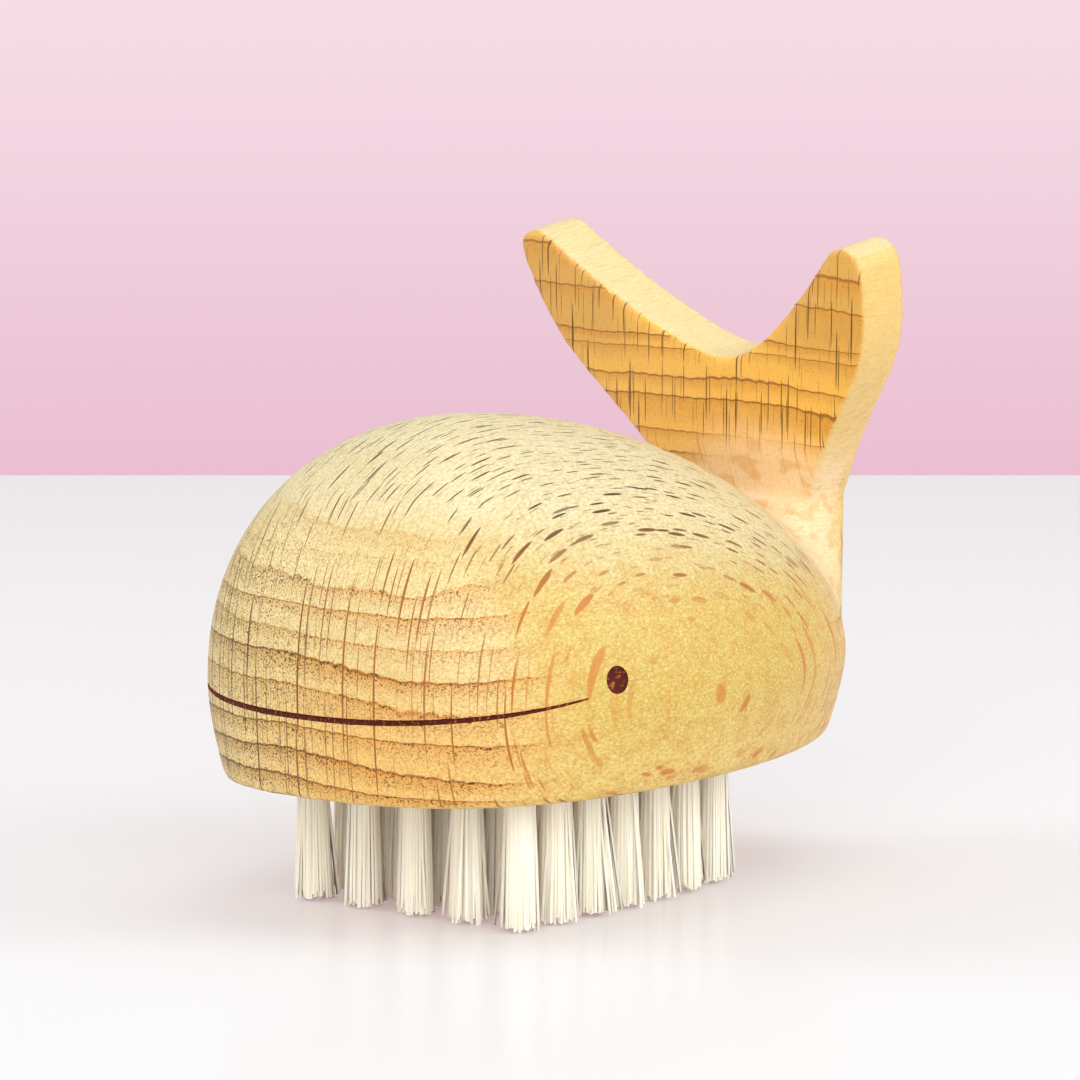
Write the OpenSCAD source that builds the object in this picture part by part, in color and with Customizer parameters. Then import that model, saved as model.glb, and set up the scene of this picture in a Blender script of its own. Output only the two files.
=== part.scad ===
// Nail brush: a whale-shaped beech body with nylon tufts anchored in its flat underside.
// Millimetres, +Z up, nose towards -Y, standing on the tips of its bristles at Z = 0.

/* [Body] */
// Length of the wooden body from nose to back
body_length = 81; // [76:0.5:88]
// Width of the wooden body at its widest place
body_width = 52; // [48:0.5:60]
// Height of the rounded back above the flat underside
body_height = 37; // [33:0.5:42]
// Height of the widest line above the underside
widest_height = 9; // [7:0.5:12]
// Distance from the nose back to the widest place
widest_from_nose = 31.5; // [28:0.5:36]
// How far the underside draws in from the widest line at the sides
side_inset = 2.8; // [1.5:0.1:4]
// How far the underside draws in from the widest line at the nose
nose_inset = 0.5; // [0.2:0.1:2]
// How far the underside draws in from the widest line at the back
back_inset = 1.9; // [0.5:0.1:3]
// How far the top of the back lies ahead of the widest place
crown_ahead = 8.5; // [5:0.5:12]

/* [Tail] */
// Span of the fluke over its two tips
fluke_span = 46.3; // [43:0.1:50]
// Reach of the fluke from its neck up to its tips
fluke_reach = 30.4; // [28:0.1:33]
// Thickness of the fluke
fluke_thickness = 7.5; // [6:0.1:8.5]
// Forward lean of the fluke's two faces from upright, in degrees
fluke_lean = 20.5; // [17:0.5:23]
// Forward lean at which the fluke's outline is sawn through, in degrees
saw_lean = 8.5; // [6:0.5:11]
// Depth of the notch between the two lobes
notch_depth = 13.4; // [11:0.1:15]
// How far the floor of the notch lies to the side of the middle
notch_aside = 1.7; // [0:0.1:2.5]
// Radius of the tips
tip_radius = 2.4; // [2:0.1:3]
// Width of the tail at its neck
neck_width = 16.9; // [15:0.1:19]
// Height of the neck above the underside
neck_height = 23.6; // [22.5:0.1:25]
// Distance from the back of the body forward to the front face of the neck
neck_from_back = 10; // [9:0.1:11]
// How far the swell reaches up into the fluke
neck_length = 1; // [0.5:0.1:1.2]
// How far the swell's top stays inside the faces of the fluke
neck_step = 0.1; // [0.05:0.05:0.3]
// Width of the swell inside the body
swell_width = 24; // [20:0.5:28]
// Length of the swell inside the body
swell_length = 22; // [20:0.5:24]
// How far the swell stays inside the back of the body
swell_inset = 0.5; // [0.5:0.1:1.5]

/* [Bristles] */
// Length of the bristles that shows below the wood
bristle_length = 14; // [10:0.5:18]
// Diameter of the drilled tuft holes
hole_diameter = 3.6; // [3.4:0.1:4]
// Depth of the drilled tuft holes
hole_depth = 7; // [5.5:0.5:7.5]
// Distance between tufts across the brush
pitch_across = 7; // [6.8:0.1:7.4]
// Distance between tufts along the brush
pitch_along = 5.7; // [5.5:0.1:6.2]
// Distance from the nose back to the first row of tufts
first_row_from_nose = 17; // [14:0.5:20]
// Width of one strand across its corners
strand_width = 0.6; // [0.5:0.05:0.65]
// How much further out the outer strands end than they start
tuft_flare = 0.4; // [0:0.1:0.6]

/* [Anchors] */
// Thickness of the flat anchor wire
anchor_thickness = 0.4; // [0.3:0.05:0.5]
// Depth of the flat anchor wire
anchor_depth = 1.8; // [1.4:0.1:2.2]
// How far each end of an anchor bites into the wood
anchor_bite = 0.3; // [0.2:0.05:0.4]
// Thickness of the fold of filament over an anchor
fold_thickness = 0.9; // [0.6:0.1:1.2]

/* [Hidden] */
// Roundness of the outlines: 2 is an ellipse, more is squarer, less is more pointed
nose_power = 2.6;
back_power = 1.8;
crown_power = 1.88;
inset_power = 1.5;
crown_shift_power = 1.5;
plan_steps = 72;
crown_steps = 16;
side_steps = 4;
curve_steps = 12;
arc_steps = 8;
round_steps = 32;
strand_sides = 4;
// Where the fluke's outer edge is drawn to on its way from the neck to the tip,
// as shares of the neck's width, the fluke's span and its reach
edge_low_shares = [0.99, 0.5];
edge_high_shares = [0.461, 0.454];
// Angle through which a tip turns from its outer side to the notch
tip_turn = 125;
// Where the notch is drawn to, as shares of the span and of the notch's depth
notch_high_share = 0.2;
notch_flat_share = 0.125;
// Tufts in each row of the field, from the nose back
row_counts = [5, 5, 5, 5, 5, 5, 5, 3];
// How much narrower the last row stands than the first
field_taper_share = 0.24;
// Strands of a tuft: how many lie on each ring, and the rings' radii as shares of the outer one
ring_counts = [1, 3, 6];
ring_shares = [0, 0.5, 1];
// Depth to which the strands are joined in the packed root
strand_root = 1;
// Play of the packed root in its hole, and how far it shows below the wood
root_play = 0.05;
root_show = 0.2;
// One overrun for every cut that has to break through a face
overrun = 0.5;

tail_length = body_length - widest_from_nose;
body_back = body_length / 2;
widest_y = widest_from_nose - body_back;
underside_z = bristle_length;
widest_z = underside_z + widest_height;
crown_rise = body_height - widest_height;
neck_y = body_back - neck_from_back;
neck_z = underside_z + neck_height;
first_row_y = first_row_from_nose - body_back;
hole_radius = hole_diameter / 2;
packed_radius = hole_radius - root_play;
anchor_z = underside_z + hole_depth - fold_thickness - anchor_depth;

last_row = len(row_counts) - 1;
tuft_places = [for (row = [0 : last_row]) for (i = [0 : row_counts[row] - 1])
    [(i - (row_counts[row] - 1) / 2) * pitch_across * (1 - field_taper_share * pow(row / last_row, 2)),
        first_row_y + row * pitch_along]];
tuft_names = [for (i = [1 : len(tuft_places)]) str("tuft_", i < 10 ? "0" : "", i)];

// Reach of a rounded outline in the direction (c, s)
function round_share(c, s, power) = pow(pow(abs(c), power) + pow(abs(s), power), -1 / power);

// One level of the body: its plan drawn in towards the underside, or shrunk and moved ahead
function level(z, draw_in, share, shift) = [for (i = [0 : plan_steps - 1])
    let (a = 360 * i / plan_steps, ahead = sin(a) < 0,
        r = share * round_share(cos(a), sin(a), ahead ? nose_power : back_power),
        reach = ahead ? widest_from_nose - nose_inset * draw_in : tail_length - back_inset * draw_in)
    [r * cos(a) * (body_width / 2 - side_inset * draw_in), widest_y - shift + r * sin(a) * reach, z]];

// The side draws in below the widest line, and the crown closes over it
side_levels = [for (i = [side_steps : -1 : 1])
    let (drop = i / side_steps * (widest_height + overrun))
    level(widest_z - drop, pow(drop / widest_height, inset_power), 1, 0)];
crown_levels = [for (i = [0 : crown_steps - 1])
    let (a = 90 * i / crown_steps, r = round_share(cos(a), sin(a), crown_power), rise = r * sin(a))
    level(widest_z + rise * crown_rise, 0, r * cos(a), crown_ahead * pow(rise, crown_shift_power))];
crown_point = [0, widest_y - crown_ahead, underside_z + body_height];

module rounded_block() {
    levels = concat(side_levels, crown_levels);
    n = plan_steps;
    top = (len(levels) - 1) * n;
    sides = [for (k = [0 : n : top - n]) for (i = [0 : n - 1]) let (a = k + i, b = k + (i + 1) % n)
        each [[a, a + n, b], [b, a + n, b + n]]];
    bottom = [for (i = [1 : n - 2]) [0, i, i + 1]];
    crown = [for (i = [0 : n - 1]) [top + i, top + n, top + (i + 1) % n]];
    difference() {
        polyhedron(concat([for (ring = levels) each ring], [crown_point]),
            concat(sides, bottom, crown), convexity = 4);
        translate([-body_width / 2, -body_length / 2, underside_z - 2 * overrun])
            cube([body_width, body_length, 2 * overrun]);
    }
}

// A curve from a to d that leaves towards b and arrives from c
function curve(a, b, c, d) = [for (i = [0 : curve_steps]) let (t = i / curve_steps, u = 1 - t)
    u * u * u * a + 3 * u * u * t * b + 3 * u * t * t * c + t * t * t * d];
function arc(centre, radius, from, to) = [for (i = [0 : arc_steps])
    let (a = from + (to - from) * i / arc_steps) centre + radius * [cos(a), sin(a)]];

// One half of the fluke as the saw sees it: up the outer edge, round the tip, down the notch
tip_centre = [fluke_span / 2 - tip_radius, fluke_reach - tip_radius];
tip_end = tip_centre + tip_radius * [cos(tip_turn), sin(tip_turn)];
notch_floor = fluke_reach - notch_depth;
function fluke_half(aside) = concat(
    curve([neck_width / 2, 0],
        [neck_width * edge_low_shares.x, fluke_reach * edge_low_shares.y],
        [fluke_span * edge_high_shares.x, fluke_reach * edge_high_shares.y],
        tip_centre + [tip_radius, 0]),
    arc(tip_centre, tip_radius, 0, tip_turn),
    curve(tip_end, tip_end + notch_high_share * notch_depth * [-1, -1],
        [aside + notch_flat_share * fluke_span, notch_floor], [aside, notch_floor]));
left_half = fluke_half(notch_aside);
right_half = fluke_half(-notch_aside);
fluke_outline = concat(left_half,
    [for (i = [len(right_half) - 2 : -1 : 0]) [-right_half[i].x, right_half[i].y]]);

// Stands its children on the front edge of the neck, leaning ahead by an angle
module leaning(angle) {
    translate([0, neck_y, neck_z]) rotate([angle, 0, 0]) children();
}

// The outline is sawn through at one lean, and the two faces are planed at another
module fluke() {
    intersection() {
        leaning(saw_lean) translate([0, 2 * fluke_thickness, 0]) rotate([90, 0, 0])
            linear_extrude(height = 3 * fluke_thickness) polygon(fluke_outline);
        leaning(fluke_lean) translate([-fluke_span / 2 - overrun, 0, -fluke_thickness])
            cube([fluke_span + 2 * overrun, fluke_thickness, fluke_reach + 2 * fluke_thickness]);
    }
}

// Below the fluke the tail swells into the body
module swell() {
    hull() {
        leaning(saw_lean) translate([neck_step - neck_width / 2, neck_step, 0])
            cube([neck_width - 2 * neck_step, fluke_thickness - 2 * neck_step, neck_length]);
        translate([0, body_back - swell_length / 2 - swell_inset, widest_z])
            scale([swell_width, swell_length, widest_height] / widest_height)
                sphere(d = widest_height, $fn = round_steps);
    }
}

module tuft_hole(place) {
    translate([place.x, place.y, underside_z - overrun])
        cylinder(r = hole_radius, h = hole_depth + overrun, $fn = round_steps);
}

// A flat wire lies across its hole under the fold of the tuft, with both ends in the wood
module anchor(place) {
    length = hole_diameter + 2 * anchor_bite;
    translate([place.x - length / 2, place.y - anchor_thickness / 2, anchor_z])
        cube([length, anchor_thickness, anchor_depth]);
}

module whale_body() {
    color("burlywood") difference() {
        union() {
            rounded_block();
            fluke();
            swell();
        }
        for (place = tuft_places) {
            tuft_hole(place);
            anchor(place);
        }
    }
}

module tuft_anchors() {
    color("silver") for (place = tuft_places) anchor(place);
}

// A strand is a square prism from its joined root down to its cut tip
module strand(root, tip, turn) {
    corners = [for (i = [0 : strand_sides - 1]) let (a = turn + 360 * (i + 0.5) / strand_sides)
        strand_width / 2 * [cos(a), sin(a)]];
    points = concat(
        [for (c = corners) [tip.x + c.x, tip.y + c.y, 0]],
        [for (c = corners) [root.x + c.x, root.y + c.y, underside_z + strand_root]]);
    n = strand_sides;
    sides = [for (i = [0 : n - 1]) let (j = (i + 1) % n) each [[i, i + n, j], [j, i + n, j + n]]];
    ends = [for (i = [1 : n - 2]) each [[0, i, i + 1], [n, n + i + 1, n + i]]];
    polyhedron(points, concat(ends, sides), convexity = 2);
}

// A tuft is a packed, folded root in its hole, with strands that spread a little to their tips
module tuft(place) {
    ring_radius = packed_radius - strand_width / 2;
    color("ivory") difference() {
        translate([place.x, place.y, 0]) union() {
            translate([0, 0, underside_z - root_show])
                cylinder(r = packed_radius, h = hole_depth + root_show, $fn = round_steps);
            for (ring = [0 : len(ring_counts) - 1]) for (i = [0 : ring_counts[ring] - 1]) {
                a = 90 + 360 * i / ring_counts[ring];
                out = [cos(a), sin(a)];
                strand(ring_shares[ring] * ring_radius * out,
                    ring_shares[ring] * (ring_radius + tuft_flare) * out, a);
            }
        }
        anchor(place);
    }
}

whale_body();
tuft_anchors();
for (i = [0 : len(tuft_places) - 1])
    tuft(tuft_places[i]);
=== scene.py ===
# Nail brush: a block of beech shaped as a plain whale, set with tufts of white nylon.
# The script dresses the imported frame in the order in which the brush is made.
import math
import random

import bmesh
import bpy
import numpy as np
from mathutils import Matrix, Vector
from mathutils.bvhtree import BVHTree


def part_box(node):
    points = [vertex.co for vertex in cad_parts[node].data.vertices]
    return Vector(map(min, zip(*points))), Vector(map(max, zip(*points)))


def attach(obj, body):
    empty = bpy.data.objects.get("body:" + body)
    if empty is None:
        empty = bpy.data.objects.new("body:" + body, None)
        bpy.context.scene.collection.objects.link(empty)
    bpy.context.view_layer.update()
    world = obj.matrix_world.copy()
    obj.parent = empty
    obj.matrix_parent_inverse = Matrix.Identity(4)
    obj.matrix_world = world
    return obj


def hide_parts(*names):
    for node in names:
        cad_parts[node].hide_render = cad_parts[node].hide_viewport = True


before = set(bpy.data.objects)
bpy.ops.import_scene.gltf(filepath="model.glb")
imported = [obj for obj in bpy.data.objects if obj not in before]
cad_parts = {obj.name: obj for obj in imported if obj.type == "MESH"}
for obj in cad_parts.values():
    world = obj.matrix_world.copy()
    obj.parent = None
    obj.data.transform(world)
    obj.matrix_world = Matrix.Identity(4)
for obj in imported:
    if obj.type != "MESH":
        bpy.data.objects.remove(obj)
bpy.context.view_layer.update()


# The camera stands a little above the brush and to the left of its nose.
# A long lens keeps the two lobes of the fluke at nearly the same size. Lengths here are in metres.
camera_turn = math.radians(40)
camera_dip = 0.1241
camera_distance = 0.65
camera_aim = Vector((0.0073, -0.0124, 0.0382))
sensor_width = 36.0
picture_width_px = 1080
lens_in_px = 6351

sight = Vector((
    -math.sin(camera_turn) * math.cos(camera_dip),
    math.cos(camera_turn) * math.cos(camera_dip),
    -math.sin(camera_dip),
))
camera = bpy.data.objects.new("camera", bpy.data.cameras.new("camera"))
camera.data.sensor_width = sensor_width
camera.data.lens = sensor_width * lens_in_px / picture_width_px
camera.location = camera_aim - sight * camera_distance
camera.rotation_euler = (math.pi / 2 - camera_dip, 0, camera_turn)
bpy.context.scene.collection.objects.link(camera)
bpy.context.scene.camera = camera


# The block. The whale's body and its tail are one piece of beech, sawn to outline with the
# fibres running from nose to tail, then turned over on a sanding belt until the back is round.
# Its flat underside carries the tufts. Lengths from here to the table are in millimetres.
METRE = 1000
block_low, block_high = (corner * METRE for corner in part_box("whale_body"))
body_width = block_high.x - block_low.x
body_length = 81.0
underside_z = block_low.z
body_height = 37.0
widest_height = 9.0
widest_z = underside_z + widest_height
widest_from_nose = 31.5
widest_y = block_high.y - body_length + widest_from_nose
side_inset, nose_inset, back_inset = 2.8, 0.5, 1.9
nose_power, end_power, crown_power = 2.6, 1.8, 1.88
draw_in_power, lean_power = 1.5, 1.5
crown_ahead = 8.5
crown_rise = underside_z + body_height - widest_z


def round_share(across, along, power):
    """How far an outline reaches in that direction: 2 is an ellipse, more is squarer."""
    return (abs(across) ** power + abs(along) ** power) ** (-1 / power)


def plan_point(angle, z, draw_in=0.0, share=1.0, shift=0.0):
    """A point of the block's plan at one level, drawn in below the widest line or shrunk above it."""
    across, along = math.cos(angle), math.sin(angle)
    ahead = along < 0
    reach = share * round_share(across, along, nose_power if ahead else end_power)
    half_width = body_width / 2 - side_inset * draw_in
    length = widest_from_nose - nose_inset * draw_in
    if not ahead:
        length = body_length - widest_from_nose - back_inset * draw_in
    return Vector((reach * across * half_width, widest_y - shift + reach * along * length, z))


def rounded_block(mesh, around=144, side_rows=10, crown_rows=40):
    """Rows round the block, from the underside up past the widest line to the crown."""
    rows = []
    for i in range(side_rows, 0, -1):
        drop = i / side_rows
        rows.append((widest_z - drop * widest_height, drop ** draw_in_power, 1.0, 0.0))
    for i in range(crown_rows):
        angle = math.pi / 2 * i / crown_rows
        reach = round_share(math.cos(angle), math.sin(angle), crown_power)
        rise = reach * math.sin(angle)
        shift = crown_ahead * rise ** lean_power
        rows.append((widest_z + rise * crown_rise, 0.0, reach * math.cos(angle), shift))
    rings = [
        [mesh.verts.new(plan_point(2 * math.pi * i / around, *row)) for i in range(around)] for row in rows
    ]
    for lower, upper in zip(rings, rings[1:]):
        for i in range(around):
            j = (i + 1) % around
            mesh.faces.new((lower[i], lower[j], upper[j], upper[i]))
    crown = mesh.verts.new((0, widest_y - crown_ahead, widest_z + crown_rise))
    for i in range(around):
        mesh.faces.new((rings[-1][i], rings[-1][(i + 1) % around], crown))
    mesh.faces.new(rings[0][::-1])


# The tail's fluke is sawn from the same piece of beech. Its outline is cut through nearly level,
# and its two faces lean further ahead. At its root the wood swells out into the block.
saw_lean = math.radians(8.5)
fluke_lean = math.radians(20.5)
fluke_span, fluke_reach, fluke_thickness = 46.3, 30.4, 7.5
notch_depth, notch_aside = 13.4, 1.7
tip_radius = 2.4
tip_turn = math.radians(125)
edge_leave_shares = (0.99, 0.5)
edge_arrive_shares = (0.461, 0.454)
notch_leave_share, notch_arrive_share = 0.2, 0.125
neck_width = 16.9
neck_inset, neck_height = 10.0, 23.6
neck_y = block_high.y - neck_inset
neck_z = underside_z + neck_height
swell_width, swell_length, swell_height = 24.0, 22.0, 9.0
swell_inset = 0.5
swell_y = block_high.y - swell_length / 2 - swell_inset


def curve(start, leave, arrive, end, steps=24):
    """Points on a smooth curve from start towards leave, and past arrive to end."""
    points = []
    for i in range(steps + 1):
        t = i / steps
        u = 1 - t
        points.append(u**3 * Vector(start) + 3 * u * u * t * Vector(leave)
                      + 3 * u * t * t * Vector(arrive) + t**3 * Vector(end))
    return points


def fluke_half(aside, tip_steps=16):
    """Up the outer edge of one lobe, round its tip and down into the notch."""
    tip = Vector((fluke_span / 2 - tip_radius, fluke_reach - tip_radius))
    notch_floor = fluke_reach - notch_depth
    edge_leave = (edge_leave_shares[0] * neck_width, edge_leave_shares[1] * fluke_reach)
    edge_arrive = (edge_arrive_shares[0] * fluke_span, edge_arrive_shares[1] * fluke_reach)
    half = curve((neck_width / 2, 0), edge_leave, edge_arrive, tip + Vector((tip_radius, 0)))
    for i in range(1, tip_steps + 1):
        turn = tip_turn * i / tip_steps
        half.append(tip + tip_radius * Vector((math.cos(turn), math.sin(turn))))
    tip_end = half.pop()
    notch_leave = tip_end - notch_leave_share * notch_depth * Vector((1, 1))
    notch_arrive = (aside + notch_arrive_share * fluke_span, notch_floor)
    return half + curve(tip_end, notch_leave, notch_arrive, (aside, notch_floor))


def on_fluke(across, up, depth):
    """A point of the fluke: up its sawn edge, and depth millimetres behind its front face."""
    turn = fluke_lean - saw_lean
    through = (depth - up * math.sin(turn)) / math.cos(turn)
    return Vector((
        across,
        neck_y - up * math.sin(saw_lean) + through * math.cos(saw_lean),
        neck_z + up * math.cos(saw_lean) + through * math.sin(saw_lean),
    ))


def fluke(mesh):
    """The fluke as one solid: the outline on its front face, and again on its back face."""
    outline = fluke_half(notch_aside)
    outline += [Vector((-p.x, p.y)) for p in fluke_half(-notch_aside)[-2::-1]]
    front = [mesh.verts.new(on_fluke(p.x, p.y, 0)) for p in outline]
    back = [mesh.verts.new(on_fluke(p.x, p.y, fluke_thickness)) for p in outline]
    for i in range(len(outline)):
        j = (i + 1) % len(outline)
        mesh.faces.new((front[i], back[i], back[j], front[j]))
    mesh.faces.new(front)
    mesh.faces.new(back[::-1])


def swell(mesh, around=48, levels=12):
    """The tail's root, which swells from the neck down into the block."""
    points = [on_fluke(side * neck_width / 2, up, depth)
              for side in (-1, 1) for up in (0, 1) for depth in (0, fluke_thickness)]
    for i in range(around):
        turn = 2 * math.pi * i / around
        for j in range(1 - levels, levels):
            up = math.pi / 2 * j / levels
            points.append(Vector((
                swell_width / 2 * math.cos(up) * math.cos(turn),
                swell_y + swell_length / 2 * math.cos(up) * math.sin(turn),
                widest_z + swell_height / 2 * math.sin(up),
            )))
    shell = bmesh.ops.convex_hull(mesh, input=[mesh.verts.new(p) for p in points])
    bmesh.ops.delete(mesh, geom=shell["geom_interior"], context="VERTS")


def finished(obj, kind, **settings):
    """The mesh of obj with one modifier applied, as a new mesh."""
    modifier = obj.modifiers.new(kind, kind)
    for field, value in settings.items():
        setattr(modifier, field, value)
    graph = bpy.context.evaluated_depsgraph_get()
    return bpy.data.meshes.new_from_object(obj.evaluated_get(graph))


def new_object(name, mesh):
    """A new object that shows the mesh, in the scene."""
    made = bpy.data.objects.new(name, mesh)
    bpy.context.scene.collection.objects.link(made)
    return made


def relax(mesh, share, rounds):
    """Sanding: moves each point part of the way to the middle of its neighbours."""
    edges = np.empty(len(mesh.edges) * 2, np.int32)
    mesh.edges.foreach_get("vertices", edges)
    edges = edges.reshape(-1, 2)
    points = np.empty(len(mesh.vertices) * 3)
    mesh.vertices.foreach_get("co", points)
    points = points.reshape(-1, 3)
    here, there = np.concatenate([edges, edges[:, ::-1]]).T
    count = np.bincount(here, minlength=len(points))
    share = share(points)[:, None] if callable(share) else share
    for _ in range(rounds):
        total = np.stack([np.bincount(here, points[there, k], len(points)) for k in range(3)], 1)
        points += share * (total / count[:, None] - points)
    mesh.vertices.foreach_set("co", points.ravel())
    mesh.update()


rough = bmesh.new()
rounded_block(rough)
fluke(rough)
swell(rough)
bmesh.ops.recalc_face_normals(rough, faces=rough.faces)
sawn = bpy.data.meshes.new("sawn")
rough.to_mesh(sawn)
rough.free()
sawn_block = new_object("sawn_block", sawn)

# Sanding: the sawn solids become one skin, which is smoothed all over and most of all round the root
skin_step = 0.4
sanding_share, sanding_rounds, root_rounds = 0.5, 8, 110
hollow_middle = (0, 33, 29.5)
hollow_half_size = (17, 13, 11.5)
hollow_reach = 1.1
skin = finished(sawn_block, "REMESH", mode="VOXEL", voxel_size=skin_step)
bpy.data.objects.remove(sawn_block)


def near_root(points):
    """The full sanding share in the hollow round the tail's root, falling to 0 further out."""
    away = np.linalg.norm((points - hollow_middle) / hollow_half_size, axis=1)
    return sanding_share * np.clip(2 * (hollow_reach - away), 0, 1)


relax(skin, sanding_share, sanding_rounds)
relax(skin, near_root, root_rounds)
block = new_object("whale_block", skin)


# The mouth and the eyes are burnt into the wood with a hot wire and a hot rod.
# Each leaves a shallow mark with a charred floor.
mouth_z = 22.45
mouth_rise = 2.4
mouth_half_angle = math.radians(56.5)
mouth_half_width = 0.31
mouth_end_share = 0.3
mouth_lift_share, mouth_round_share = 0.25, 1.03
mouth_sides = 12
eye_y, eye_z = -21.3, 26.4
eye_radius = 1.45
eye_depth = 0.3
eye_sides = 48
eye_overrun = 2
eye_rings = (
    (-eye_depth, 0.5 * eye_radius),
    (-0.9 * eye_depth, 0.8 * eye_radius),
    (-0.5 * eye_depth, 0.97 * eye_radius),
    (eye_overrun, 1.05 * eye_radius),
)

surface = BVHTree.FromPolygons([v.co for v in skin.vertices], [p.vertices for p in skin.polygons])


def on_surface(start, target):
    """Where a line from start to target first meets the block, and the surface's direction there."""
    place, normal, _, _ = surface.ray_cast(start, (target - start).normalized())
    return place, normal


def ring_solid(rings):
    """A closed solid through rings of points of one length."""
    mesh = bmesh.new()
    made = [[mesh.verts.new(p) for p in ring] for ring in rings]
    for a, b in zip(made, made[1:]):
        for i in range(len(a)):
            j = (i + 1) % len(a)
            mesh.faces.new((a[i], a[j], b[j], b[i]))
    mesh.faces.new(made[0][::-1])
    mesh.faces.new(made[-1])
    bmesh.ops.recalc_face_normals(mesh, faces=mesh.faces)
    return mesh


def mouth_path(steps=160):
    """Points along the mouth, with the surface's direction and the burnt half width at each."""
    for i in range(steps + 1):
        share = 2 * i / steps - 1
        angle = share * mouth_half_angle
        z = mouth_z + mouth_rise * share * share
        middle = Vector((0, widest_y, z))
        outside = middle + body_length * Vector((math.sin(angle), -math.cos(angle), 0))
        place, normal = on_surface(outside, middle)
        half_width = mouth_half_width * (1 - (1 - mouth_end_share) * abs(share) ** 3)
        yield place, normal, half_width


path = list(mouth_path())
mouth_rings = []
for i, (place, normal, half_width) in enumerate(path):
    ahead = (path[min(i + 1, len(path) - 1)][0] - path[max(i - 1, 0)][0]).normalized()
    out = (normal - ahead * normal.dot(ahead)).normalized()
    side = ahead.cross(out)
    centre = place + mouth_lift_share * half_width * out
    mouth_rings.append([
        centre + mouth_round_share * half_width * (math.cos(a) * side + math.sin(a) * out)
        for a in (2 * math.pi * k / mouth_sides for k in range(mouth_sides))
    ])
cutters = [ring_solid(mouth_rings)]

eye_places = []
for side in (-1, 1):
    place, normal = on_surface(Vector((side * body_width, eye_y, eye_z)), Vector((0, eye_y, eye_z)))
    eye_places.append((place, normal))
    turn = normal.to_track_quat("Z", "X").to_matrix()
    rings = []
    for height, radius in eye_rings:
        rings.append([
            place + turn @ Vector((radius * math.cos(a), radius * math.sin(a), height))
            for a in (2 * math.pi * k / eye_sides for k in range(eye_sides))
        ])
    cutters.append(ring_solid(rings))


# The tuft holes are drilled into the flat underside, in rows that narrow towards the tail.
# Each is blind, and just wide enough for a folded bundle of filament.
hole_radius, hole_depth = 1.8, 7.0
drill_point_height, drill_point_radius = 0.4, 0.1
hole_overrun = 1
hole_sides = 40
hole_rings = (
    (underside_z - hole_overrun, hole_radius),
    (underside_z + hole_depth - drill_point_height, hole_radius),
    (underside_z + hole_depth, drill_point_radius),
)
tuft_names = sorted(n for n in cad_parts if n.startswith("tuft_") and n[-2:].isdigit())
tuft_places = []
for name in tuft_names:
    low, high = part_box(name)
    tuft_places.append((low + high).to_2d() / 2 * METRE)
for place in tuft_places:
    rings = []
    for z, radius in hole_rings:
        rings.append([
            Vector((place.x + radius * math.cos(a), place.y + radius * math.sin(a), z))
            for a in (2 * math.pi * k / hole_sides for k in range(hole_sides))
        ])
    cutters.append(ring_solid(rings))

cut = bpy.data.meshes.new("cut")
all_cuts = bmesh.new()
for cutter in cutters:
    part = bpy.data.meshes.new("part")
    cutter.to_mesh(part)
    cutter.free()
    all_cuts.from_mesh(part)
    bpy.data.meshes.remove(part)
all_cuts.to_mesh(cut)
all_cuts.free()
cut_tools = new_object("cut_tools", cut)
body_mesh = finished(block, "BOOLEAN", operation="DIFFERENCE", solver="MANIFOLD", object=cut_tools)
bpy.data.objects.remove(cut_tools)
bpy.data.objects.remove(block)

# The wood is charred where the hot wire and the hot rod have been: on the faces of the mouth's
# groove, and on the floor and the wall of each eye.
char_gap = 0.02
floor_share, wall_limit, eye_reach_share = 0.4, 0.6, 1.1
sharp_angle = math.radians(38)
groove_faces = []
for r in range(len(mouth_rings) - 1):
    for k in range(mouth_sides):
        here, there = mouth_sides * r, mouth_sides * (r + 1)
        after = (k + 1) % mouth_sides
        groove_faces.append((here + k, here + after, there + after, there + k))
mouth_tree = BVHTree.FromPolygons([p for ring in mouth_rings for p in ring], groove_faces)
body_mesh.materials.clear()
for polygon in body_mesh.polygons:
    middle = Vector(polygon.center)
    _, _, _, gap = mouth_tree.find_nearest(middle)
    charred = gap < char_gap
    for place, normal in eye_places:
        offset = middle - place
        sunk = offset.dot(normal) < -floor_share * eye_depth or polygon.normal.dot(normal) < wall_limit
        charred = charred or (sunk and offset.length < eye_reach_share * eye_radius)
    polygon.material_index = 1 if charred else 0
body_mesh.transform(Matrix.Scale(1 / METRE, 4))
body_mesh.polygons.foreach_set("use_smooth", [True] * len(body_mesh.polygons))
body_mesh.set_sharp_from_angle(angle=sharp_angle)
whale_block = new_object("whale_block", body_mesh)
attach(whale_block, "root")
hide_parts("whale_body")


# Beech, sanded and lightly oiled: pale, close-grained, with no open pores to feel.
# Growth rings lie nearly level, so the nose shows them as lines, crossed by upright rays.
# The rays are thin upright sheets, which show on the back as short dark flecks.
def hex_colour(text):
    """An sRGB colour such as 'e8c98a' as linear values with full alpha."""
    parts = [int(text[i:i + 2], 16) / 255 for i in (0, 2, 4)]
    return tuple(c / 12.92 if c <= 0.04045 else ((c + 0.055) / 1.055) ** 2.4 for c in parts) + (1.0,)


def add(tree, kind, inputs=None, **settings):
    """Adds a node with its settings, its fixed inputs and its links, from a socket or from a node."""
    made = tree.nodes.new("ShaderNode" + kind)
    for field, value in settings.items():
        setattr(made, field, value)
    for socket, value in (inputs or {}).items():
        if isinstance(value, bpy.types.Node):
            value = next(output for output in value.outputs if output.enabled)
        if isinstance(value, bpy.types.NodeSocket):
            tree.links.new(value, made.inputs[socket])
        else:
            made.inputs[socket].default_value = value
    return made


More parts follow.
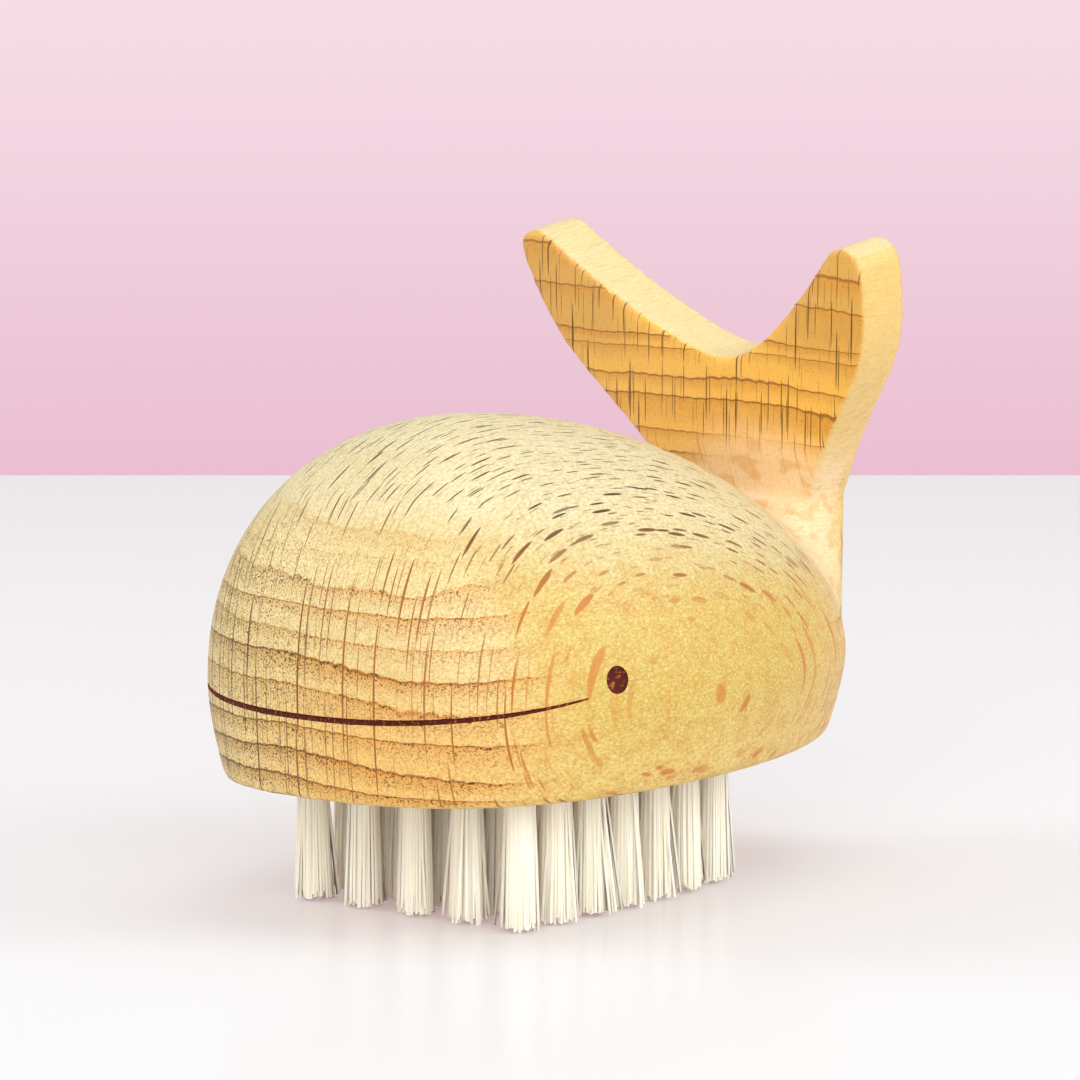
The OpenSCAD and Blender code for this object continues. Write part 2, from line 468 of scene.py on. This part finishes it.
def new_material(name):
    """A new material without nodes, and its node tree."""
    made = bpy.data.materials.new(name)
    made.use_nodes = True
    made.node_tree.nodes.clear()
    return made, made.node_tree


ring_spacing = 2.9
ring_tilt = math.radians(2)
wide_rings_above, ring_widening = 64.0, 0.4
arch_width, arch_height, arch_drift = 1.848, 0.13, 5.0
rays_lean_above, ray_lean = 44.0, 0.3
root_middle = (4.0, 31.0, 35.5)
pores_in_rings = 1.3
pore_depth = 0.02


def solid_beech(tree):
    """Colour and height of the wood at each point of the block, as one solid pattern in millimetres."""
    place = add(tree, "TexCoord")
    point = add(tree, "VectorMath", {0: place.outputs["Object"], "Scale": METRE}, operation="SCALE")
    x, y, z = add(tree, "SeparateXYZ", {0: point}).outputs
    facing_x, facing_y, facing_z = add(tree, "SeparateXYZ", {0: place.outputs["Normal"]}).outputs
    broadside = add(tree, "Math", {0: facing_x}, operation="ABSOLUTE")
    endways = add(tree, "Math", {0: facing_y}, operation="ABSOLUTE")
    aside = add(tree, "Math", {0: x}, operation="ABSOLUTE")
    leaned_back = add(tree, "Math", {0: z, 1: math.tan(fluke_lean), 2: y}, operation="MULTIPLY_ADD")
    from_root = add(tree, "VectorMath", {0: point, 1: root_middle}, operation="DISTANCE")

    # Noises: the size of their spots across, along and up the block, and their fineness
    noise = {}
    for name, size, detail in (
        ("long_wave", (28.57, 28.57, 28.57), 0.0),
        ("short_wave", (6.667, 25.0, 25.0), 1.0),
        ("layers", (83.33, 50.0, 3.333), 0.0),
        ("arches", (5.0, 20.0, 5.0), 1.0),
        ("pores", (0.1818, 0.7143, 0.1818), 1.0),
        ("mottle", (1.667, 2.5, 1.667), 3.0),
        ("fibre", (0.2, 2.857, 0.2), 3.0),
        ("smear", (2.5, 2.5, 2.0), 1.0),
        ("grain", (0.3125, 0.5, 0.3125), 3.0),
        ("glint", (0.2381, 0.3846, 0.2381), 2.0),
    ):
        spots = add(tree, "VectorMath", {0: point, 1: tuple(1 / s for s in size)}, operation="MULTIPLY")
        noise[name] = add(tree, "TexNoise", {"Vector": spots, "Scale": 1.0, "Detail": detail})

    # Growth rings: nearly level, wider apart in the fluke, with a small arch between each two rays
    level = add(tree, "Math", {0: x, 1: math.tan(ring_tilt), 2: z}, operation="MULTIPLY_ADD")
    for name, height in (("long_wave", 3.0), ("short_wave", 1.0), ("layers", 4.0)):
        level = add(tree, "Math", {0: noise[name], 1: height, 2: level}, operation="MULTIPLY_ADD")
    drift = add(tree, "Math", {0: noise["arches"], 1: arch_drift}, operation="MULTIPLY")
    arch = add(tree, "Math", {0: x, 1: math.pi / arch_width, 2: drift}, operation="MULTIPLY_ADD")
    arch = add(tree, "Math", {0: arch}, operation="SINE")
    arch = add(tree, "Math", {0: arch}, operation="ABSOLUTE")
    level = add(tree, "Math", {0: arch, 1: -arch_height, 2: level}, operation="MULTIPLY_ADD")
    high = add(tree, "Math", {0: level, 1: wide_rings_above}, operation="SUBTRACT")
    high = add(tree, "Math", {0: high, 1: 0.0}, operation="MAXIMUM")
    level = add(tree, "Math", {0: high, 1: -ring_widening, 2: level}, operation="MULTIPLY_ADD")
    years = add(tree, "Math", {0: level, 1: -1 / ring_spacing}, operation="MULTIPLY")
    year = add(tree, "Math", {0: years}, operation="FLOOR")
    season = add(tree, "TexWhiteNoise", {"W": year}, noise_dimensions="1D")
    late_wood = add(tree, "ValToRGB", {0: add(tree, "Math", {0: years}, operation="FRACT")})
    stops = late_wood.color_ramp.elements
    stops[0].position, stops[0].color = 0.0, (1, 1, 1, 1)
    stops[1].position, stops[1].color = 1.0, (0.3, 0.3, 0.3, 1)
    for position, value in ((0.05, 1.0), (0.09, 0.5), (0.35, 0.3), (0.7, 0.0), (0.96, 0.0)):
        stop = stops.new(position)
        stop.color = (value, value, value, 1)

    # Masks: what is measured, where the mask starts and stops changing, and its values at both
    mask = {}
    for name, measured, start, end, first, last in (
        ("top_grain", facing_z, 0.3, 0.75, 0.0, 1.0),
        ("end_grain", endways, 0.2, 0.8, 0.0, 1.0),
        ("flank", broadside, 0.7, 0.9, 0.0, 1.0),
        ("above_root", z, 34.0, 46.0, 0.0, 1.0),
        ("behind_crown", leaned_back, 38.0, 43.0, 0.0, 1.0),
        ("sunny_side", x, -14.0, 12.0, 0.0, 1.0),
        ("close_to_root", from_root, 15.5, 6.5, 0.0, 1.0),
        ("ahead_of_end", y, 37.5, 33.5, 0.0, 1.0),
        ("low", z, 25.0, 15.0, 0.0, 1.0),
        ("behind", y, 10.0, 34.0, 0.0, 1.0),
        ("heart_low", z, 34.0, 18.0, 0.0, 0.7),
        ("heart_aside", x, -12.0, 8.0, 0.2, 1.0),
        ("corner_aside", aside, 5.0, 15.0, 0.0, 0.45),
        ("corner_high", z, 50.0, 57.0, 0.0, 1.0),
        ("ring_by_height", z, 29.0, 38.0, 1.0, 0.5),
        ("ring_by_year", season, 0.0, 0.7, 0.45, 1.0),
        ("soft_ring", z, 27.0, 34.0, 0.0, 0.85),
        ("ray_limit", y, 0.0, 22.0, 0.42, 0.05),
        ("ray_width", broadside, 0.6, 0.95, 1.0, 0.62),
        ("ray_on_flank", broadside, 0.8, 0.98, 1.0, 0.85),
        ("grain_on_flank", broadside, 0.4, 0.9, 0.3, 0.42),
        ("pores", noise["pores"], 0.5, 0.68, 0.0, 1.0),
        ("mottle", noise["mottle"], 0.4, 0.65, 0.0, 0.5),
        ("fibre", noise["fibre"], 0.35, 0.7, 0.0, 0.25),
        ("smear", noise["smear"], 0.54, 0.66, 0.0, 0.45),
        ("grain", noise["grain"], 0.4, 0.65, 0.0, 1.0),
        ("glint", noise["glint"], 0.5, 0.65, 0.0, 1.0),
    ):
        span = {0: measured, 1: start, 2: end, 3: first, 4: last}
        mask[name] = add(tree, "MapRange", span, interpolation_type="SMOOTHSTEP")

    # Joint masks: two of the values above, taken together
    for name, kind, one, other in (
        ("fluke", "MULTIPLY", "above_root", "behind_crown"),
        ("sunny", "MAXIMUM", "sunny_side", "fluke"),
        # the pale root: partly the wood's tone, partly painted light on the low face of the fluke, which
        # the body shades
        ("pale", "MULTIPLY", "close_to_root", "ahead_of_end"),
        ("pale_or_fluke", "MAXIMUM", "fluke", "pale"),
        ("any_grain", "MAXIMUM", "top_grain", "end_grain"),
        # painted light: the flanks paler low down, where light from the table falls, and towards the tail
        ("painted_light_low_back", "MAXIMUM", "low", "behind"),
        ("heart", "MULTIPLY", "heart_low", "heart_aside"),
        ("corner", "MULTIPLY", "corner_aside", "corner_high"),
        ("ring_height", "MAXIMUM", "ring_by_height", "fluke"),
    ):
        mask[name] = add(tree, "Math", {0: mask[one], 1: mask[other]}, operation=kind)
    for name, whole in (("off_fluke", "fluke"), ("off_pale", "pale"), ("off_end", "end_grain")):
        mask[name] = add(tree, "Math", {0: 1.0, 1: mask[whole]}, operation="SUBTRACT")
    mask["edge_grain"] = add(tree, "Math", {0: mask["fluke"], 1: mask["off_end"]}, operation="MULTIPLY")

    # Leftovers: how much of a look is left where a mask is 0, and where it is full
    for name, whole, full, first, last in (
        ("marks_on_top", "top_grain", 1.0, 1.0, 0.3),
        ("ring_on_pale", "pale", 0.8, 1.0, 0.1),
        ("ray_on_edge", "edge_grain", 1.0, 1.0, 0.12),
        ("ray_on_pale", "pale", 1.0, 1.2, 0.15),
        ("pores_in_sun", "sunny", 1.0, 0.66, 0.25),
        ("pores_on_end", "end_grain", 1.0, 0.3, 1.0),
        ("pores_in_fluke", "fluke", 1.0, 1.0, 0.25),
        ("front_on_top", "top_grain", 1.0, 1.0, 0.2),
        # how much of the painted light low down and towards the tail stays on the back
        ("painted_light_low_back_on_top", "top_grain", 1.0, 0.5, 0.1),
        ("fluke_on_top", "top_grain", 1.0, 0.8, 0.4),
        ("mottle_on_grain", "any_grain", 1.0, 1.0, 0.15),
        ("grain_on_pale", "pale_or_fluke", 1.0, 1.0, 0.35),
        ("glint_on_pale", "pale_or_fluke", 1.0, 0.3, 0.06),
    ):
        span = {0: mask[whole], 1: 0.0, 2: full, 3: first, 4: last}
        mask[name] = add(tree, "MapRange", span, interpolation_type="SMOOTHSTEP")

    # How strongly the fluke's wood counts in the rings, in the warm tone and in the dark of the rays
    fluke_part = {}
    for name, strength in (("ring", 0.85), ("warm", 0.95), ("dark", 0.6)):
        fluke_part[name] = add(tree, "Math", {0: mask["fluke"], 1: strength}, operation="MULTIPLY")

    # Rings show on end grain, each year at its own strength, and evenly in the fluke
    ring_strength = add(tree, "Math", {0: mask["ring_by_year"], 1: fluke_part["ring"]}, operation="MAXIMUM")
    ring = add(tree, "Math", {0: late_wood, 1: ring_strength}, operation="MULTIPLY")
    for name in ("end_grain", "marks_on_top", "ring_height"):
        ring = add(tree, "Math", {0: ring, 1: mask[name]}, operation="MULTIPLY")

    # Rays: in each cell of a stretched pattern lies one thin sheet, upright and along the fibres.
    # Only the strongest show where the wood is cut along them, on the flanks.
    span = {0: broadside, 1: 0.75, 2: 0.97, 3: -1.6, 4: mask["ray_limit"]}
    faintest = add(tree, "MapRange", span, interpolation_type="SMOOTHSTEP")
    thin = add(tree, "CombineXYZ", {0: mask["ray_width"], 1: 1.0, 2: 1.0})
    high = add(tree, "Math", {0: z, 1: rays_lean_above}, operation="SUBTRACT")
    high = add(tree, "Math", {0: high, 1: 0.0}, operation="MAXIMUM")
    leaned = add(tree, "Math", {0: high, 1: -ray_lean, 2: x}, operation="MULTIPLY_ADD")
    upright = add(tree, "CombineXYZ", {0: leaned, 1: y, 2: z})
    ray = 0.0
    for spacing, half_size, offset, most in (
        ((1.9, 4.2, 24.0), (0.12, 1.7, 12.0), (0.0, 0.0, 0.0), 1.0),
        ((1.3, 3.2, 13.0), (0.08, 1.3, 6.0), (7.3, 2.1, 5.7), 0.95),
        ((0.8, 2.4, 7.0), (0.055, 0.8, 3.0), (3.1, 8.4, 1.9), 0.5),
    ):
        per_cell = tuple(1 / s for s in spacing)
        sheets_in_cell = tuple(s / h for s, h in zip(spacing, half_size))
        cell = add(tree, "VectorMath", {0: upright, 1: per_cell, 2: offset}, operation="MULTIPLY_ADD")
        found = add(tree, "TexVoronoi", {"Vector": cell, "Scale": 1.0, "Randomness": 0.8})
        gap = add(tree, "VectorMath", {0: cell, 1: found.outputs["Position"]}, operation="SUBTRACT")
        sized = add(tree, "VectorMath", {0: gap, 1: sheets_in_cell}, operation="MULTIPLY")
        sized = add(tree, "VectorMath", {0: sized, 1: thin}, operation="MULTIPLY")
        away = add(tree, "VectorMath", {0: sized}, operation="LENGTH")
        inside = add(tree, "MapRange", {0: away, 1: 1.0, 2: 0.75}, interpolation_type="SMOOTHSTEP")
        tone = add(tree, "SeparateColor", {0: found.outputs["Color"]})
        strength = add(tree, "MapRange", {0: tone, 1: faintest, 2: 1.0, 4: most})
        sheet = add(tree, "Math", {0: inside, 1: strength}, operation="MULTIPLY")
        ray = add(tree, "Math", {0: ray, 1: sheet}, operation="MAXIMUM")
    for name in ("ray_on_flank", "ray_on_edge"):
        ray = add(tree, "Math", {0: ray, 1: mask[name]}, operation="MULTIPLY")

    # Pores: fine specks on end grain, drawn out to short dashes along the fibres
    in_sun = mask["pores_in_sun"]
    speck = add(tree, "Math", {0: ring, 1: pores_in_rings, 2: in_sun}, operation="MULTIPLY_ADD")
    for name in ("pores_on_end", "pores_in_fluke", "marks_on_top", "off_pale", "pores"):
        speck = add(tree, "Math", {0: speck, 1: mask[name]}, operation="MULTIPLY")

    # Each look's share is the product of its row: a pattern or a mask, and what limits it
    warm = add(tree, "Math", {0: mask["heart"], 1: fluke_part["warm"]}, operation="MAXIMUM")
    dark = add(tree, "Math", {0: mask["top_grain"], 1: fluke_part["dark"]}, operation="MAXIMUM")
    pale_ring = add(tree, "Math", {0: ring, 1: mask["ring_on_pale"]}, operation="MULTIPLY")
    ring_span = {0: pale_ring, 1: 0.45, 2: 0.95, 3: 0.0, 4: 0.7}
    share = {"ring": add(tree, "MapRange", ring_span, interpolation_type="SMOOTHSTEP")}
    for name, *factors in (
        ("painted_light_low_back", mask["painted_light_low_back"], mask["painted_light_low_back_on_top"]),
        ("front", mask["end_grain"], mask["front_on_top"]),
        ("golden", mask["mottle"], mask["mottle_on_grain"]),
        ("fluke", mask["fluke"], mask["fluke_on_top"]),
        ("warm", warm, mask["end_grain"]),
        ("pale", mask["pale"], 0.8),
        ("smear", mask["smear"], mask["pale"]),
        ("corner", mask["corner"], mask["end_grain"]),
        ("grain", mask["grain"], mask["grain_on_flank"], mask["grain_on_pale"]),
        ("glint", mask["glint"], mask["glint_on_pale"]),
        ("soft_ring", mask["soft_ring"], mask["off_fluke"]),
        ("band", pale_ring, 1.5),
        ("speck", speck, 1.15),
        ("ray", ray, mask["ray_on_pale"]),
    ):
        share[name] = factors[0]
        for factor in factors[1:]:
            share[name] = add(tree, "Math", {0: share[name], 1: factor}, operation="MULTIPLY")

    # Colours that change over the block: each starts from one tone, with others laid over it in turn
    tones = {}
    for name, start, layers in (
        ("warm", "e8ab46", ((mask["fluke"], "f4b64a"),)),
        ("band", "ae8840", ((mask["sunny"], "cc8a2e"),)),
        ("line", "422604", ((mask["sunny"], "98520c"), (mask["fluke"], "84500f"))),
        ("ring", "line", ((share["soft_ring"], "b8741e"),)),
        ("ray", "line", ((mask["flank"], "b86c10"), (dark, "4a300c"))),
        # The whole wood: cream on the back, golden on the sides, and warm on the end grain low down
        # and in the fluke, with its pale root, partly the wood's tone and partly painted light, its fibres,
        # rings, pores and rays
        ("wood", "c5a94c", (
            (mask["top_grain"], "d5cba6"),
            # Painted light: paler and yellower low down on the flanks, where light from the table falls,
            # and towards the tail
            (share["painted_light_low_back"], "efcd7c"),
            (share["front"], "dfc88e"),
            (share["golden"], "c38f34"),
            (share["fluke"], "e1bc72"),
            (share["warm"], "warm"),
            # Partly painted light: the pale root also lifts the low face of the fluke, where the body
            # shades it
            (share["pale"], "edd2aa"),
            (share["smear"], "d29440"),
            (mask["fibre"], "c09652"),
            (share["corner"], "a87c40"),
            (share["grain"], "a67c2c"),
            (share["glint"], "ecdca4"),
            (share["band"], "band"),
            (share["ring"], "ring"),
            (share["speck"], "452a06"),
            (share["ray"], "ray"),
        )),
    ):
        tone = tones[start] if start in tones else hex_colour(start)
        for amount, over in layers:
            over = tones[over] if over in tones else hex_colour(over)
            tone = add(tree, "Mix", {0: amount, 6: tone, 7: over}, data_type="RGBA")
        tones[name] = tone
    dips = add(tree, "Math", {0: speck, 1: ray}, operation="MAXIMUM")
    return tones["wood"], dips, noise["fibre"]


beech, tree = new_material("beech_sanded_and_oiled")
wood_colour, dips, fibre = solid_beech(tree)
dent = add(tree, "Bump", {"Strength": 0.25, "Distance": pore_depth / METRE, "Height": dips}, invert=True)
dull = add(tree, "MapRange", {0: fibre, 3: 0.42, 4: 0.58})
shader = add(tree, "BsdfPrincipled", {
    "Base Color": wood_colour, "Roughness": dull, "IOR": 1.5, "Normal": dent,
})
add(tree, "OutputMaterial", {0: shader})
body_mesh.materials.append(beech)

# Charred beech: dark red-brown and matt, with the grain's paler streaks left in it.
# The streaks are the size of the wood's fibres across, along and up the block.
streak_size = (0.2, 1.111, 0.4)
char_depth = 0.05
charred, tree = new_material("beech_charred")
place = add(tree, "TexCoord")
streaks = add(tree, "VectorMath", {
    0: place.outputs["Object"], 1: tuple(METRE / s for s in streak_size),
}, operation="MULTIPLY")
grain = add(tree, "TexNoise", {"Vector": streaks, "Scale": 1.0, "Detail": 3.0})
amount = add(tree, "MapRange", {0: grain, 1: 0.55, 2: 0.72})
colour = add(tree, "Mix", {0: amount, 6: hex_colour("4c1204"), 7: hex_colour("a85c24")}, data_type="RGBA")
rough_char = add(tree, "Bump", {"Strength": 0.5, "Distance": char_depth / METRE, "Height": grain})
shader = add(tree, "BsdfPrincipled", {
    "Base Color": colour, "Roughness": 0.75, "IOR": 1.3, "Normal": rough_char,
})
add(tree, "OutputMaterial", {0: shader})
body_mesh.materials.append(charred)


# The anchors are short lengths of flat steel wire, one driven across the fold of each tuft.
# They stay inside the wood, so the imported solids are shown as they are.
# Drawing leaves fine bright lines along the wire.
line_size = (2.5, 0.0833, 0.0833)
wire, tree = new_material("steel_wire_drawn_flat")
place = add(tree, "TexCoord")
drawn = add(tree, "VectorMath", {
    0: place.outputs["Object"], 1: tuple(METRE / s for s in line_size),
}, operation="MULTIPLY")
lines = add(tree, "TexNoise", {"Vector": drawn, "Scale": 1.0, "Detail": 2.0})
shine = add(tree, "MapRange", {0: lines, 3: 0.25, 4: 0.45})
shader = add(tree, "BsdfPrincipled", {
    "Base Color": hex_colour("c4c6c8"), "Metallic": 1.0, "Roughness": shine,
})
add(tree, "OutputMaterial", {0: shader})
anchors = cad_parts["tuft_anchors"]
anchors.data.materials.clear()
anchors.data.materials.append(wire)
anchor_low, anchor_high = (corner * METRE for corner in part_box("tuft_anchors"))


# The tufts are bundles of 0.29 mm nylon filament. Each filament is folded over its anchor, so
# both of its legs hang from the hole, and the tips are trimmed to nearly one length.
filament_radius = 0.145
filament_sides = 5
legs_in_tuft = 160
mouth_spread = 1.52
golden_angle = math.radians(137.5)
packing_play, tip_play, bow_play, trim_play = 0.02, 0.04, 0.03, 0.42
spread_share, outer_spread_share = 1.08, 0.22
longest_trim = 1.4
stray_share, stray_least, stray_most = 0.05, 0.4, 1.6
clumps = 11
clump_lean, clump_trim = 0.09, 0.45
leg_shares = (0, 0.25, 0.5, 0.75, 1)
held_least, held_most, held_at_fold = 0.4, 0.6, 0.35
bend_share, bend_height, held_height = 0.6, 2.2, 0.8
fold_least, fold_most = 0.2, 0.7


def packed_places(dice):
    """Pairs of places for the two legs of each filament, evenly packed on both sides of the anchor."""
    places = []
    for k in range(legs_in_tuft):
        radius = mouth_spread * math.sqrt((k + 0.5) / legs_in_tuft)
        angle = k * golden_angle
        places.append(Vector((
            radius * math.cos(angle) + dice.gauss(0, packing_play),
            radius * math.sin(angle) + dice.gauss(0, packing_play),
        )))
    places.sort(key=lambda spot: spot.y)
    half = legs_in_tuft // 2
    near, far = (sorted(group, key=lambda spot: spot.x) for group in (places[:half], places[half:]))
    return zip(near, far)


def folded_filament(mesh, place, mouths, clump_leans, dice):
    """One filament from a cut tip up into the hole, over the anchor and down to its other tip."""
    across = (mouths[0].x + mouths[1].x) / 2
    fold_top = anchor_high.z + dice.uniform(fold_least, fold_most)
    legs = []
    for side, mouth in zip((-1, 1), mouths):
        clump = clump_leans[int((math.atan2(mouth.y, mouth.x) / math.tau + 0.5) * clumps) % clumps]
        tip = mouth * (spread_share + outer_spread_share * mouth.length / mouth_spread) + clump.xy
        tip += Vector((dice.gauss(0, tip_play), dice.gauss(0, tip_play)))
        if dice.random() < stray_share:
            tip += mouth.normalized() * dice.uniform(stray_least, stray_most)
        tip_z = min(clump.z + abs(dice.gauss(0, trim_play)), longest_trim)
        bow = Vector((dice.gauss(0, bow_play), dice.gauss(0, bow_play)))
        leg = []
        for share in leg_shares:
            spot = tip.lerp(mouth, share) + bow * 4 * share * (1 - share)
            leg.append(Vector((spot.x, spot.y, tip_z + (underside_z - tip_z) * share)))
        held = Vector((across, side * dice.uniform(held_least, held_most)))
        bend = mouth.lerp(held, bend_share)
        leg.append(Vector((bend.x, bend.y, underside_z + bend_height)))
        leg.append(Vector((held.x, held.y, anchor_low.z + held_height)))
        leg.append(Vector((across, side * held_at_fold, anchor_high.z)))
        legs.append(leg)
    points = legs[0] + [Vector((across, 0, fold_top))] + legs[1][::-1]
    rings = []
    for i, point in enumerate(points):
        ahead = (points[min(i + 1, len(points) - 1)] - points[max(i - 1, 0)]).normalized()
        if i in (0, len(points) - 1):
            ahead = Vector((0, 0, 1 if i == 0 else -1))
        wide = Vector((1, 0, 0))
        wide = (wide - ahead * wide.dot(ahead)).normalized()
        other = ahead.cross(wide)
        rings.append([
            mesh.verts.new(Vector((place.x, place.y, 0)) + point
                           + filament_radius * (math.cos(a) * wide + math.sin(a) * other))
            for a in (2 * math.pi * k / filament_sides for k in range(filament_sides))
        ])
    for a, b in zip(rings, rings[1:]):
        for i in range(filament_sides):
            j = (i + 1) % filament_sides
            mesh.faces.new((a[i], a[j], b[j], b[i])).smooth = True
    mesh.faces.new(rings[0][::-1])
    mesh.faces.new(rings[-1])


# Drawn nylon is milky: a little light passes through, and single filaments differ slightly in tone.
tone_size = (0.4, 0.4, 16.67)
light_through_share = 0.07
own_normal_share = 0.35
nylon, tree = new_material("nylon_filament_white")
place = add(tree, "TexCoord")
drawn = add(tree, "VectorMath", {
    0: place.outputs["Object"], 1: tuple(METRE / s for s in tone_size),
}, operation="MULTIPLY")
batch = add(tree, "TexNoise", {"Vector": drawn, "Scale": 1.0, "Detail": 1.0})
amount = add(tree, "MapRange", {0: batch, 1: 0.35, 2: 0.65})
colour = add(tree, "Mix", {0: amount, 6: hex_colour("fff9ea"), 7: hex_colour("faf0d9")}, data_type="RGBA")
solid = add(tree, "BsdfPrincipled", {"Base Color": colour, "Roughness": 0.4, "IOR": 1.53})
through = add(tree, "BsdfTranslucent", {"Color": hex_colour("fff2d8")})
milky = add(tree, "MixShader", {0: light_through_share, 1: solid, 2: through})
add(tree, "OutputMaterial", {0: milky})


def soften(mesh, middle):
    """Milky filament shades as one soft bundle: its normals turn towards the bundle's own."""
    normals = []
    for vertex, own in zip(mesh.vertices, mesh.vertex_normals):
        out = (vertex.co.xy - middle).normalized().to_3d()
        turned = own_normal_share * own.vector + (1 - own_normal_share) * out
        normals.append(turned.normalized())
    mesh.normals_split_custom_set_from_vertices(normals)


dice = random.Random(11)
for name, place in zip(tuft_names, tuft_places):
    bundle = bmesh.new()
    leans = [
        Vector((dice.gauss(0, clump_lean), dice.gauss(0, clump_lean), dice.uniform(0, clump_trim)))
        for _ in range(clumps)
    ]
    for mouths in packed_places(dice):
        folded_filament(bundle, place, mouths, leans, dice)
    mesh = bpy.data.meshes.new("bristles_" + name[-2:])
    bundle.to_mesh(mesh)
    bundle.free()
    mesh.transform(Matrix.Scale(1 / METRE, 4))
    soften(mesh, place / METRE)
    mesh.materials.append(nylon)
    bristles = new_object("bristles_" + name[-2:], mesh)
    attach(bristles, "root")
    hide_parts(name)


# The table: a plain sheet of milky acrylic, lit a little from below. It is only for the picture.
# The sheet ends behind the brush, and from below it is clear. Lengths from here on are in metres.
table_half_size = 1.5
table_reach = 0.378
corners = [(x * table_half_size, y * table_half_size, 0) for x, y in ((-1, -1), (1, -1), (1, 1), (-1, 1))]
sheet_mesh = bpy.data.meshes.new("table_top")
sheet_mesh.from_pydata(corners, [], [(0, 1, 2, 3)])
table_top = new_object("table_top", sheet_mesh)
table_top.rotation_euler = (0, 0, camera_turn)
table_top.location = (sight.xy.normalized() * (table_reach - table_half_size)).to_3d()
acrylic, tree = new_material("table_milky_acrylic")
lit_from_below_share = 0.34
top_side = add(tree, "BsdfPrincipled", {"Base Color": hex_colour("ddebec"), "Roughness": 0.15, "IOR": 1.08})
from_below = add(tree, "BsdfTranslucent", {"Color": hex_colour("ffd5d9")})
sheet = add(tree, "MixShader", {0: lit_from_below_share, 1: top_side, 2: from_below})
clear = add(tree, "BsdfTransparent")
behind = add(tree, "NewGeometry").outputs["Backfacing"]
cover = add(tree, "MixShader", {0: behind, 1: sheet, 2: clear})
add(tree, "OutputMaterial", {0: cover})
sheet_mesh.materials.append(acrylic)


# The sky: the camera sees a plain pale wall, a little deeper in tone low down, by the table's edge.
# The brush itself is lit by an even, neutral glow.
wall_foot, wall_top = -0.114, -0.039
glow_strength = 0.69
sky = bpy.data.worlds.new("sky")
sky.use_nodes = True
tree = sky.node_tree
tree.nodes.clear()
height = add(tree, "SeparateXYZ", {0: add(tree, "TexCoord").outputs["Generated"]}).outputs[2]
rise = add(tree, "MapRange", {0: height, 1: wall_foot, 2: wall_top})
shade = add(tree, "Mix", {0: rise, 6: hex_colour("eabed1"), 7: hex_colour("f6dee7")}, data_type="RGBA")
seen = add(tree, "Background", {"Color": shade, "Strength": 1.0})
glow = add(tree, "Background", {"Color": hex_colour("fafafa"), "Strength": glow_strength})
in_view = add(tree, "LightPath").outputs["Is Camera Ray"]
both = add(tree, "MixShader", {0: in_view, 1: glow, 2: seen})
add(tree, "OutputWorld", {0: both})
bpy.context.scene.world = sky


# The lamps: soft boxes above, behind the camera and at both sides, as in a plain studio, and one
# below the table. All have the same slightly cool tint, and point at the middle of the brush.
lamp_tint = (0.965, 1.0, 0.985)
lamp_aim = Vector((0, 0, 0.03))


def soft_box(name, place, size, power):
    """A square lamp at a place, with its side in metres and its power in watts."""
    lamp = bpy.data.lights.new(name, "AREA")
    lamp.shape = "SQUARE"
    lamp.size = size
    lamp.energy = power
    lamp.color = lamp_tint
    made = bpy.data.objects.new(name, lamp)
    made.location = place
    made.rotation_euler = (lamp_aim - Vector(place)).to_track_quat("-Z", "Y").to_euler()
    bpy.context.scene.collection.objects.link(made)


soft_box("box_above", (0.1, 0.1, 1.0), 0.5, 2.0)
soft_box("box_behind_camera", (0.95, -1.14, 0.54), 1.35, 20.0)
soft_box("box_right", (0.65, 0.36, 0.36), 0.4, 3.0)
soft_box("box_left", (-0.6, -0.4, 0.45), 0.4, 2.3)
soft_box("box_below_table", (0.0, 0.0, -1.0), 1.0, 4.6)

bpy.context.scene.view_settings.view_transform = "Standard"
